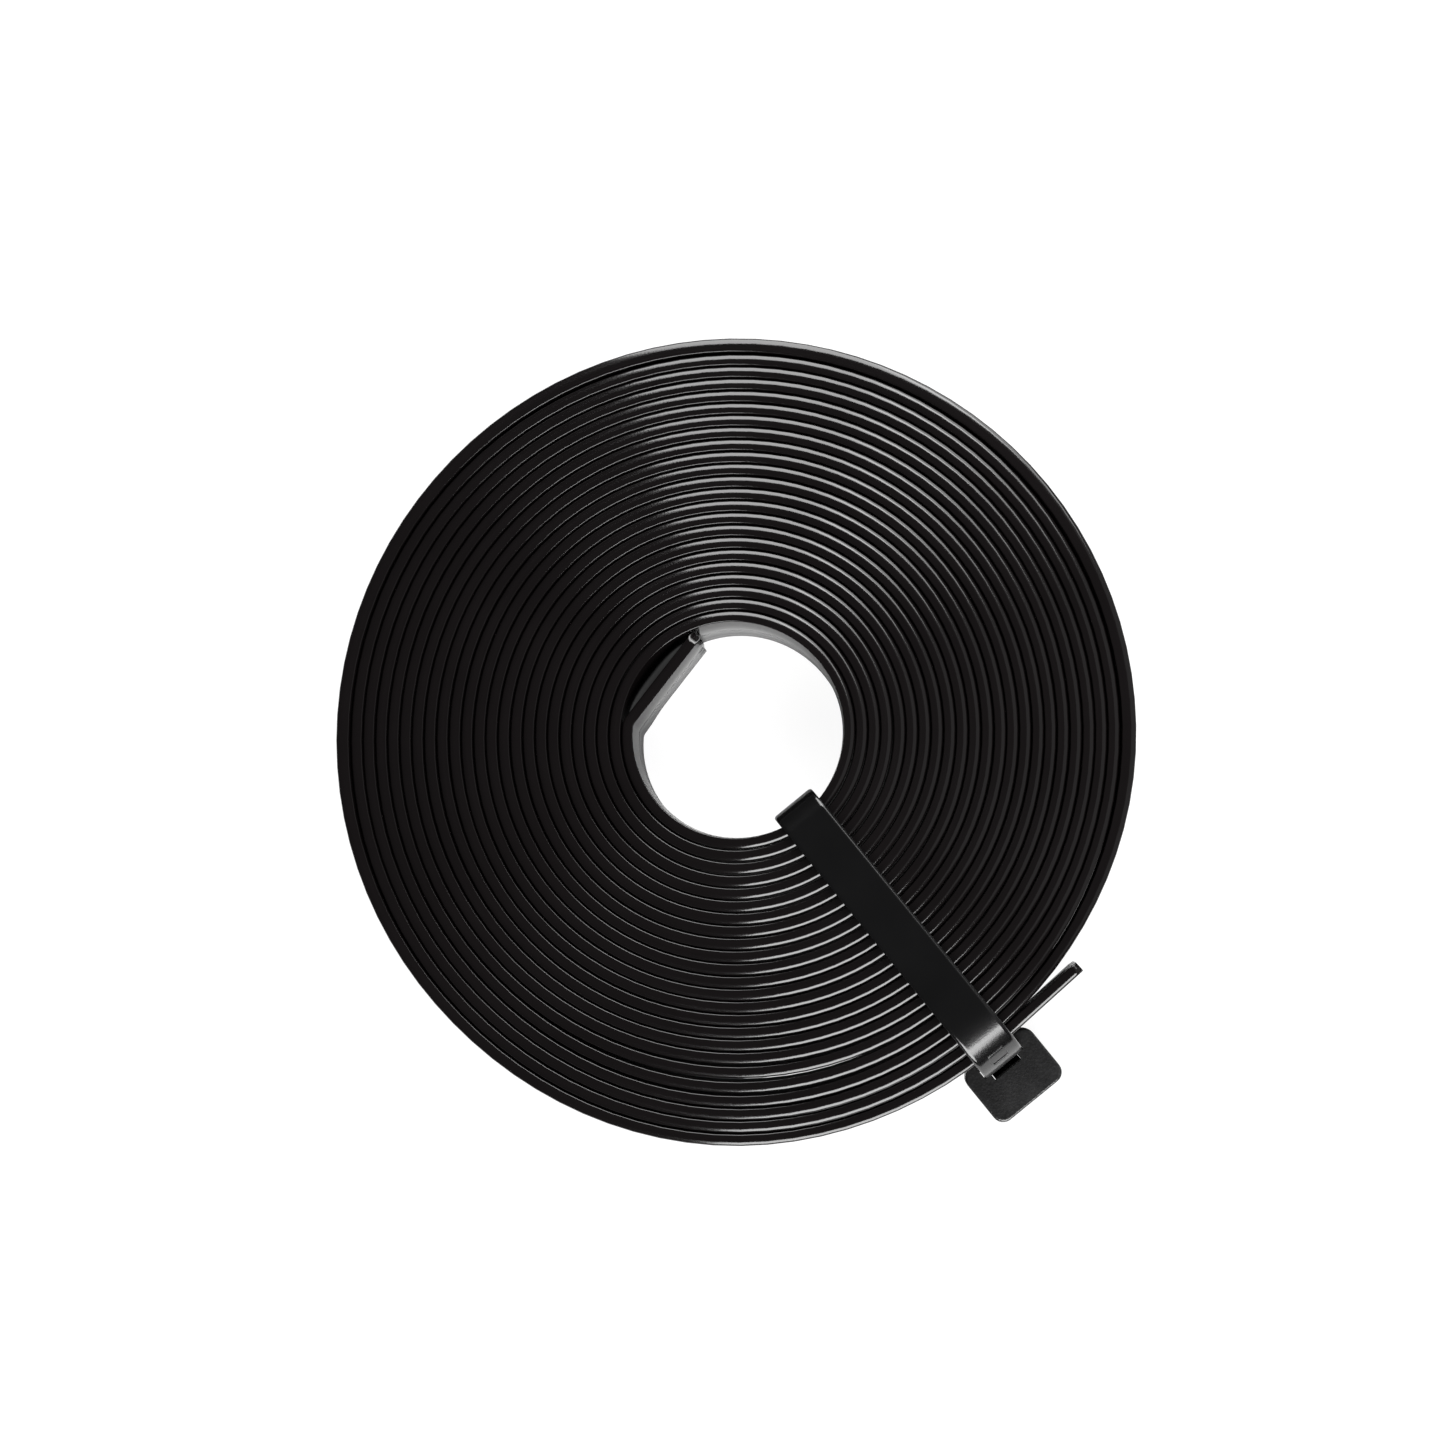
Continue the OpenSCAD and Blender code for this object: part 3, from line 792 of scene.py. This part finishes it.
def rounded_box(low_u, high_u, half_v, radius, parts=6):
    """Corner points of a rectangle in u and v whose corners are quarter circles."""
    corners = []
    places = ((high_u, half_v, 0.0), (low_u, half_v, 90.0),
              (low_u, -half_v, 180.0), (high_u, -half_v, 270.0))
    for cu, cv, start in places:
        q = np.radians(start + np.linspace(0.0, 90.0, parts + 1))
        su, sv = (1 if cu == high_u else -1), (1 if cv > 0 else -1)
        middle_u, middle_v = cu - su * radius, cv - sv * radius
        corners.append(np.stack([middle_u + radius * np.cos(q), middle_v + radius * np.sin(q)], -1))
    return np.concatenate(corners)


def head_surface(t, p):
    """The head as closed rings round its slot: up the outside, over the upper edge, across the top, down
    the slot and the pawl's pocket, and back across the bottom. Each ring meets the same rays from the
    slot's middle."""
    near, far = p.near, p.near + t.head_length
    half = t.head_width / 2
    slot_near = p.outer - t.thickness / 2 - t.clearance
    slot_far = p.face + t.clearance
    slot_half = t.width / 2 + t.clearance
    pocket_half = t.pawl_width / 2 + POCKET_PLAY
    mouth = p.pawl_root - POCKET_PLAY
    pocket = p.pawl_root + POCKET_SWING

    def slot_outline(reach, grow=0.0):
        return np.array([
            [slot_near - grow, -slot_half - grow], [slot_far + grow, -slot_half - grow],
            [slot_far + grow, -pocket_half - grow], [reach + grow, -pocket_half - grow],
            [reach + grow, pocket_half + grow], [slot_far + grow, pocket_half + grow],
            [slot_far + grow, slot_half + grow], [slot_near - grow, slot_half + grow]])

    centre = np.array([(slot_near + slot_far) / 2, 0.0])
    plain = np.radians(np.arange(RAYS) * TURN / RAYS)
    corner_sets = [slot_outline(mouth), slot_outline(pocket), rounded_box(near, far, half, t.head_corner)]
    angles = [plain] + [np.arctan2(*(c - centre).T[::-1]) % (2 * np.pi) for c in corner_sets]
    angles = np.unique(np.round(np.concatenate(angles), 6))
    d = np.stack([np.cos(angles), np.sin(angles)], -1)

    def ring(corners, z):
        uv = centre + ray_outline(angles, corners, centre)[:, None] * d
        return np.concatenate([uv, np.broadcast_to(z, (len(uv), 1))], -1)

    def outside(inset, z):
        return ring(rounded_box(near + inset, far - inset, half - inset, t.head_corner), z)

    top, soft, keep, lip = t.head_height, HEAD_SOFT, KEEP, SLOT_LIP
    q = np.radians(np.linspace(0.0, 90.0, SOFT_PARTS + 1))
    rings = [outside(soft + keep, 0.0)]
    rings += [outside(soft * (1 - np.cos(k)), soft * (1 - np.sin(k))) for k in q[::-1]]
    rings += [outside(0.0, soft + keep), outside(0.0, top - soft - keep)]
    rings += [outside(soft * (1 - np.cos(k)), top - soft * (1 - np.sin(k))) for k in q]
    rings.append(outside(soft + keep, top))
    roof = top - POCKET_ROOF
    rings += [ring(slot_outline(mouth, grow), z) for grow, z in
              ((lip + keep, top), (lip, top), (lip / 3, top - lip / 3), (0.0, top - lip), (0.0, roof))]
    rings += [ring(slot_outline(pocket, grow), z) for grow, z in
              ((0.0, roof - POCKET_SLANT), (0.0, lip), (lip, 0.0))]
    return tie_frame(p.azimuth, np.stack(rings))


def prism_surface(outline, width, soft, azimuth):
    """An outline in u and z carried along v, drawn in by a little at both ends."""
    middle = outline.mean(0)
    half = width / 2
    rows = []
    for v, inset in ((-half, soft), (-half + soft, 0.0), (half - soft, 0.0), (half, soft)):
        away = outline - middle
        reach = np.linalg.norm(away, axis=1, keepdims=True)
        shape = middle + away * (1 - inset / np.maximum(reach, soft * 2))
        rows.append(np.stack([shape[:, 0], np.full(len(shape), v), shape[:, 1]], -1))
    return tie_frame(azimuth, np.stack(rows))


def pawl_outline(t, p):
    """The pawl's outline in u and z: a round root, a tongue hanging from it and three teeth on its inner
    face."""
    face, tooth = p.pawl_face, p.face + t.tooth_play
    axis = np.array([p.pawl_root, t.head_height - PIVOT_DEPTH])
    root = t.pawl_thickness / 2
    tip = t.first_tooth + t.tooth_pitch - TOOTH_LAND
    ledge = tooth_ledge(t)
    q = np.radians(np.linspace(180.0, -90.0, PAWL_ROOT_PARTS + 1))
    points = [axis + root * np.array([np.cos(k), np.sin(k)]) for k in q]
    points += [[axis[0], tip + root], [axis[0] - root * PAWL_HEEL, tip], [face, tip]]
    for k in range(PAWL_TEETH):
        z = t.first_tooth + (1 + k) * t.tooth_pitch + PAWL_TOOTH_PLAY
        points += [[face, z + PAWL_TOOTH_STEP], [tooth - t.tooth_depth, z + ledge],
                   [face, z + t.tooth_pitch - PAWL_TOOTH_LAND]]
    points += [[face, axis[1] - t.pawl_thickness]]
    return np.array(points)


# ---- operators -----------------------------------------------------------------------------------


class HOSE_OT_stage(bpy.types.Operator):
    """Sets the camera, the white floor, the sky and the softboxes"""

    bl_idname = "soaker_hose.stage"
    bl_label = "Add camera, floor and lamps"

    def execute(self, context):
        add_camera(context.scene)
        add_floor(context.scene)
        add_sky(context.scene)
        add_softboxes(context.scene)
        return {"FINISHED"}


class HOSE_OT_hose(bpy.types.Operator):
    """Winds the flat hose from its inner cut to its outer cut as one surface"""

    bl_idname = "soaker_hose.hose"
    bl_label = "Wind the hose"

    def execute(self, context):
        s = context.scene.hose_sizes
        points, uv = hose_surface(s, tie_azimuth(s, context.scene.tie_sizes))
        piece = grid_mesh("hose", points, uv)
        finish_piece(piece, hose_plastic(tuple(context.scene.finishes.hose)), "coil", "hose",
                     "hose_coil", "hose_inner_end", "hose_outer_end")
        return {"FINISHED"}


class HOSE_OT_strap(bpy.types.Operator):
    """Lays the tie's strap round the coil, with the raised border on its bend"""

    bl_idname = "soaker_hose.strap"
    bl_label = "Lay the strap"

    def execute(self, context):
        t = context.scene.tie_sizes
        p = tie_places(context.scene.hose_sizes, t)
        material = strap_nylon(tuple(context.scene.finishes.strap))
        points, uv = strap_surface(t, p)
        strap = grid_mesh("strap", points, uv)
        crisp(strap)
        finish_piece(strap, material, "coil", "tie", "tie_strap")
        border = grid_mesh("border", border_surface(t, p), closed=True)
        finish_piece(border, material, "coil", "tie", "tie_strap")
        return {"FINISHED"}


class HOSE_OT_head(bpy.types.Operator):
    """Makes the tie's head with its slot and pocket, and the pawl inside it"""

    bl_idname = "soaker_hose.head"
    bl_label = "Make the head and pawl"

    def execute(self, context):
        t = context.scene.tie_sizes
        p = tie_places(context.scene.hose_sizes, t)
        material = head_nylon(tuple(context.scene.finishes.head))
        head = grid_mesh("head", head_surface(t, p), closed=True)
        crisp(head)
        finish_piece(head, material, "coil", "tie", "tie_head")
        tongue = prism_surface(pawl_outline(t, p), t.pawl_width, PAWL_SOFT, p.azimuth)
        pawl = grid_mesh("pawl_tongue", tongue)
        crisp(pawl)
        finish_piece(pawl, strap_nylon(tuple(context.scene.finishes.strap)), "pawl", "tie", "tie_pawl")
        return {"FINISHED"}


def crisp(piece):
    """Marks the sharp edges, so that smooth shading stops there."""
    piece.data.set_sharp_from_angle(angle=np.radians(CRISP))


# ---- stage ---------------------------------------------------------------------------------------

# The camera: side of the square picture and focal length in pixels, sensor in millimetres, and in metres
# the point below the camera, its height and the point that it looks at
FRAME_PX = 1445.0
FOCAL_PX = 2745.0
SENSOR = 36.0
CAMERA_NADIR = (0.0349, -0.0504)
CAMERA_HEIGHT = 0.5772
CAMERA_AIM = (-0.0025, 0.0021, 0.0245)


def add_camera(scene):
    """A camera almost straight above, a little towards the tie, with the coil's +Y upward in the
    picture."""
    place = Vector((*CAMERA_NADIR, CAMERA_HEIGHT))
    back = (place - Vector(CAMERA_AIM)).normalized()
    right = Vector((0.0, 1.0, 0.0)).cross(back).normalized()
    up = back.cross(right)
    data = bpy.data.cameras.new("camera")
    data.sensor_width = SENSOR
    data.lens = SENSOR * FOCAL_PX / FRAME_PX
    camera = bpy.data.objects.new("camera", data)
    scene.collection.objects.link(camera)
    camera.matrix_world = Matrix.Translation(place) @ Matrix((right, up, back)).transposed().to_4x4()
    scene.camera = camera


FLOOR_HALF = 4.0
FLOOR_DROP = 0.02 * MM


def add_floor(scene):
    """A square floor whose middle lies under the coil, just below its foot."""
    half, drop = FLOOR_HALF, FLOOR_DROP
    corners = [(-half, -half, -drop), (half, -half, -drop), (half, half, -drop), (-half, half, -drop)]
    mesh = bpy.data.meshes.new("floor")
    mesh.from_pydata(corners, [], [(0, 1, 2, 3)])
    floor = bpy.data.objects.new("floor", mesh)
    scene.collection.objects.link(floor)
    mesh.materials.append(floor_white(tuple(scene.finishes.floor)))


SKY_LIGHT = 0.06


def add_sky(scene):
    """A dim even sky for the light, which is white to the camera."""
    world = bpy.data.worlds.new("sky")
    world.use_nodes = True
    tree = world.node_tree
    tree.nodes.clear()
    w = Wire(tree, None)
    path = w.node("ShaderNodeLightPath")
    dim = w.node("ShaderNodeBackground", _0=(1.0, 1.0, 1.0, 1.0), _1=SKY_LIGHT)
    white = w.node("ShaderNodeBackground", _0=(1.0, 1.0, 1.0, 1.0), _1=1.0)
    mixed = w.node("ShaderNodeMixShader", _0=path, _1=dim, _2=white)
    output = tree.nodes.new("ShaderNodeOutputWorld")
    tree.links.new(mixed.socket, output.inputs["Surface"])
    scene.world = world


# Softboxes: azimuth, elevation and roll in degrees, distance, width and height in metres, power in watts
SOFTBOXES = {
    "back": (88.0, 41.0, -16.5, 0.9, 0.48, 0.78, 10.9),
    "back_wing": (60.5, 34.0, -12.0, 1.0, 0.42, 0.81, 5.1),
    "front": (286.5, 38.0, 14.0, 0.9, 0.61, 0.6, 14.6),
    "side": (8.0, 44.0, 0.0, 0.9, 0.9, 0.9, 0.8),
}


def add_softboxes(scene):
    """Rectangular lamps that face the coil from around it."""
    for name, (azimuth, elevation, roll, distance, width, height, watts) in SOFTBOXES.items():
        a, e = np.radians(azimuth), np.radians(elevation)
        back = Vector((np.cos(a) * np.cos(e), np.sin(a) * np.cos(e), np.sin(e)))
        data = bpy.data.lights.new(name, "AREA")
        data.shape, data.size, data.size_y, data.energy = "RECTANGLE", width, height, watts
        lamp = bpy.data.objects.new(name, data)
        scene.collection.objects.link(lamp)
        level = Vector((0.0, 0.0, 1.0)).cross(back).normalized()
        right = Matrix.Rotation(-np.radians(roll), 3, back) @ level
        lamp.matrix_world = (Matrix.Translation(back * distance)
                             @ Matrix((right, back.cross(right), back)).transposed().to_4x4())


# ---- add-on --------------------------------------------------------------------------------------


class HOSE_PT_panel(bpy.types.Panel):
    """Lists the steps in the order in which they are run"""

    bl_idname = "HOSE_PT_panel"
    bl_label = "Soaker hose"
    bl_space_type = "VIEW_3D"
    bl_region_type = "UI"
    bl_category = "Soaker hose"

    def draw(self, context):
        for step in STEPS:
            self.layout.operator(step.bl_idname)


GROUPS = {"hose_sizes": HoseSizes, "tie_sizes": TieSizes, "finishes": Finishes}
STEPS = (HOSE_OT_stage, HOSE_OT_hose, HOSE_OT_strap, HOSE_OT_head)
CLASSES = (*GROUPS.values(), *STEPS, HOSE_PT_panel)


def register():
    """Registers the classes and hangs the settings on the scene."""
    for cls in CLASSES:
        bpy.utils.register_class(cls)
    for name, group in GROUPS.items():
        setattr(bpy.types.Scene, name, PointerProperty(type=group))


def unregister():
    """Takes the settings and the classes away again."""
    for name in GROUPS:
        delattr(bpy.types.Scene, name)
    for cls in reversed(CLASSES):
        bpy.utils.unregister_class(cls)


def main():
    register()
    scene = bpy.context.scene
    scene.view_settings.view_transform = "Standard"
    bpy.ops.soaker_hose.stage()
    bpy.ops.soaker_hose.hose()
    bpy.ops.soaker_hose.strap()
    bpy.ops.soaker_hose.head()


if __name__ == "__main__":
    main()
